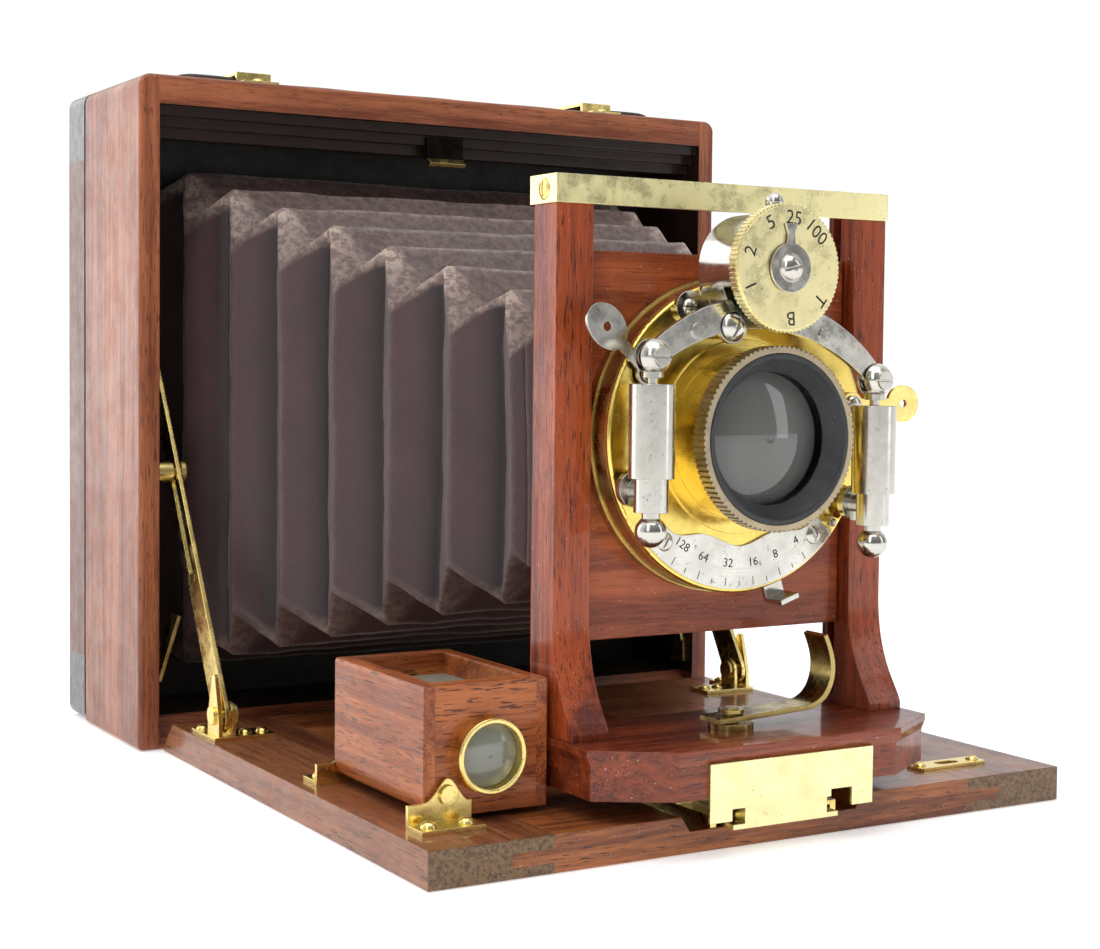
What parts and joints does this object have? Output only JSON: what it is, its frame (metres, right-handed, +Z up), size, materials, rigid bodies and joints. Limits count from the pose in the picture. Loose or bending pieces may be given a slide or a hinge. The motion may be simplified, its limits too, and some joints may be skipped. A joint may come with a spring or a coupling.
{
  "type": "large format view camera",
  "caption": "Folding drop-bed plate camera in polished mahogany and brass, with square-back box body, tapered leather bellows, sliding lens standard, between-lens shutter and reflecting finder.",
  "frame": {"origin": "middle of the body's lower front edge, on the plane the camera stands on", "axes": "+Z up, +Y towards the back with the focusing screen, +X to the right of someone who stands in front and looks at the lens"},
  "size_m": [0.165, 0.2035, 0.1646],
  "materials": {
    "mahogany": "French-polished mahogany with open pores",
    "black_stain": "flat black stain inside the body",
    "ebonised": "ebonised, satin",
    "brass": "polished brass, lightly tarnished",
    "lacquered_brass": "golden lacquer, turned finish",
    "nickel": "worn nickel plate",
    "black_metal": "satin black lacquer",
    "bellows_leather": "dull mauve-brown leather, worn at the folds",
    "handle_leather": "dark brown strap leather",
    "lens_glass": "polished",
    "ground_glass": "finely ground on one side",
    "silvered": "silvered"
  },
  "bodies": {
    "body": {"body_case": "mahogany", "bellows_frame": "black_stain", "body_springs": "brass", "hinge_body_leaves": "brass", "body_screws": "brass", "handle_strap": "handle_leather", "handle_loops": "brass", "tripod_bush": "brass", "bellows": "bellows_leather"},
    "back": {"back_frame": "mahogany", "back_corners": "ebonised", "back_springs": "brass"},
    "screen": {"screen_frame": "mahogany", "focusing_screen": "ground_glass"},
    "bed": {"bed_panel": "mahogany", "bed_stiles": "mahogany", "track_rails": "brass", "hinge_bed_leaves": "brass", "catch_plate": "brass", "finder_brackets": "brass", "strut_brackets": "brass", "bed_rivets": "brass", "bed_screws": "brass"},
    "strut_left": {"strut_left": "brass"},
    "strut_right": {"strut_right": "brass"},
    "finder": {"finder_box": "mahogany", "finder_lens_ring": "brass", "finder_lens": "lens_glass", "finder_mirror": "silvered", "finder_screen": "ground_glass"},
    "standard": {"standard_base": "mahogany", "posts": "mahogany", "top_bar": "brass", "standard_screws": "brass", "clamp_saddle": "brass", "clamp_screw": "brass"},
    "clamp_lever": {"clamp_lever": "brass"},
    "lens_board": {"lens_board": "mahogany", "rear_cell": "black_metal", "shutter_case": "lacquered_brass", "shutter_face": "lacquered_brass", "lens_barrel": "lacquered_brass", "lens_ring": "lacquered_brass", "lens_bezel": "black_metal", "lens_glasses": "lens_glass", "scale_plate": "nickel", "cylinders": "nickel", "speed_housing": "nickel", "shutter_screws": "nickel"},
    "piston_left": {"piston_left": "nickel"},
    "piston_right": {"piston_right": "nickel"},
    "shutter_arm": {"shutter_arm": "nickel"},
    "speed_dial": {"speed_dial": "lacquered_brass"},
    "release_lever": {"release_lever": "nickel"},
    "cocking_lever": {"cocking_lever": "lacquered_brass"},
    "blade_left": {"blade_left": "black_metal"},
    "blade_right": {"blade_right": "black_metal"},
    "iris": {"iris_ring": "nickel", "iris_leaves": "black_metal"}
  },
  "joints": [
    {"name": "bed_fold", "type": "hinge", "parent": "body", "child": "bed", "pos_m": [0, -0.0003, 0.0016], "axis": [-1, 0, 0], "range_deg": [0, 12], "deforming": ["bellows"]},
    {"name": "strut_left_turn", "type": "hinge", "parent": "bed", "child": "strut_left", "pos_m": [-0.0722, -0.0275, 0.0126], "axis": [-1, 0, 0], "range_deg": [-12, 0]},
    {"name": "strut_right_turn", "type": "hinge", "parent": "bed", "child": "strut_right", "pos_m": [0.0722, -0.0275, 0.0126], "axis": [-1, 0, 0], "range_deg": [-12, 0]},
    {"name": "finder_swing", "type": "hinge", "parent": "bed", "child": "finder", "pos_m": [-0.0646, -0.1033, 0.0129], "axis": [0, -1, 0], "range_deg": [0, 90]},
    {"name": "standard_slide", "type": "slide", "parent": "bed", "child": "standard", "axis": [0, 1, 0], "range_m": [0, 0.045], "deforming": ["bellows"]},
    {"name": "clamp_turn", "type": "hinge", "parent": "standard", "child": "clamp_lever", "pos_m": [-0.0036, -0.13, 0.0235], "axis": [0, 0, 1], "range_deg": [-35, 8]},
    {"name": "board_rise", "type": "slide", "parent": "standard", "child": "lens_board", "axis": [0, 0, 1], "range_m": [-0.006, 0.01], "deforming": ["bellows"]},
    {"name": "dial_turn", "type": "hinge", "parent": "lens_board", "child": "speed_dial", "pos_m": [0, -0.1407, 0.1128], "axis": [0, -1, 0], "range_deg": [-150, 150]},
    {"name": "release_press", "type": "hinge", "parent": "lens_board", "child": "release_lever", "pos_m": [-0.0234, -0.128, 0.092], "axis": [0, -1, 0], "range_deg": [0, 12], "stiffness_Nm_per_rad": 0.02, "springref_deg": -11.46},
    {"name": "cocking_swing", "type": "hinge", "parent": "lens_board", "child": "cocking_lever", "pos_m": [0.0276, -0.128, 0.0858], "axis": [0, -1, 0], "range_deg": [-12, 12]},
    {"name": "arm_rock", "type": "hinge", "parent": "lens_board", "child": "shutter_arm", "pos_m": [-0.009, -0.1357, 0.1013], "axis": [0, -1, 0], "range_deg": [-1.5, 3]},
    {"name": "piston_left_lift", "type": "slide", "parent": "lens_board", "child": "piston_left", "axis": [0, 0, 1], "range_m": [-0.001, 0.0006]},
    {"name": "piston_right_lift", "type": "slide", "parent": "lens_board", "child": "piston_right", "axis": [0, 0, 1], "range_m": [-0.001, 0.002]},
    {"name": "blade_left_swing", "type": "hinge", "parent": "lens_board", "child": "blade_left", "pos_m": [-0.014, -0.12205, 0.1014], "axis": [0, 1, 0], "range_deg": [0, 28], "stiffness_Nm_per_rad": 0.005, "springref_deg": -11.46},
    {"name": "blade_right_swing", "type": "hinge", "parent": "lens_board", "child": "blade_right", "pos_m": [0.014, -0.12265, 0.1014], "axis": [0, 1, 0], "range_deg": [-28, 0]},
    {"name": "iris_turn", "type": "hinge", "parent": "lens_board", "child": "iris", "pos_m": [0, -0.1243, 0.0794], "axis": [0, -1, 0], "range_deg": [-40, 8]},
    {"name": "back_lift", "type": "slide", "parent": "body", "child": "back", "axis": [0, 1, 0], "range_m": [0, 0.03]},
    {"name": "screen_lift", "type": "slide", "parent": "back", "child": "screen", "axis": [0, 1, 0], "range_m": [0, 0.006], "stiffness_N_per_m": 700, "springref_m": -0.006, "deforming": ["back_springs"]}
  ],
  "couplings": [
    {"joint": "strut_left_turn", "follows": "bed_fold", "ratio": -0.9837},
    {"joint": "strut_right_turn", "follows": "bed_fold", "ratio": -0.9837},
    {"joint": "piston_left_lift", "follows": "arm_rock", "m_per_rad": -0.0183},
    {"joint": "piston_right_lift", "follows": "arm_rock", "m_per_rad": 0.0363},
    {"joint": "blade_right_swing", "follows": "blade_left_swing", "ratio": -1}
  ]
}
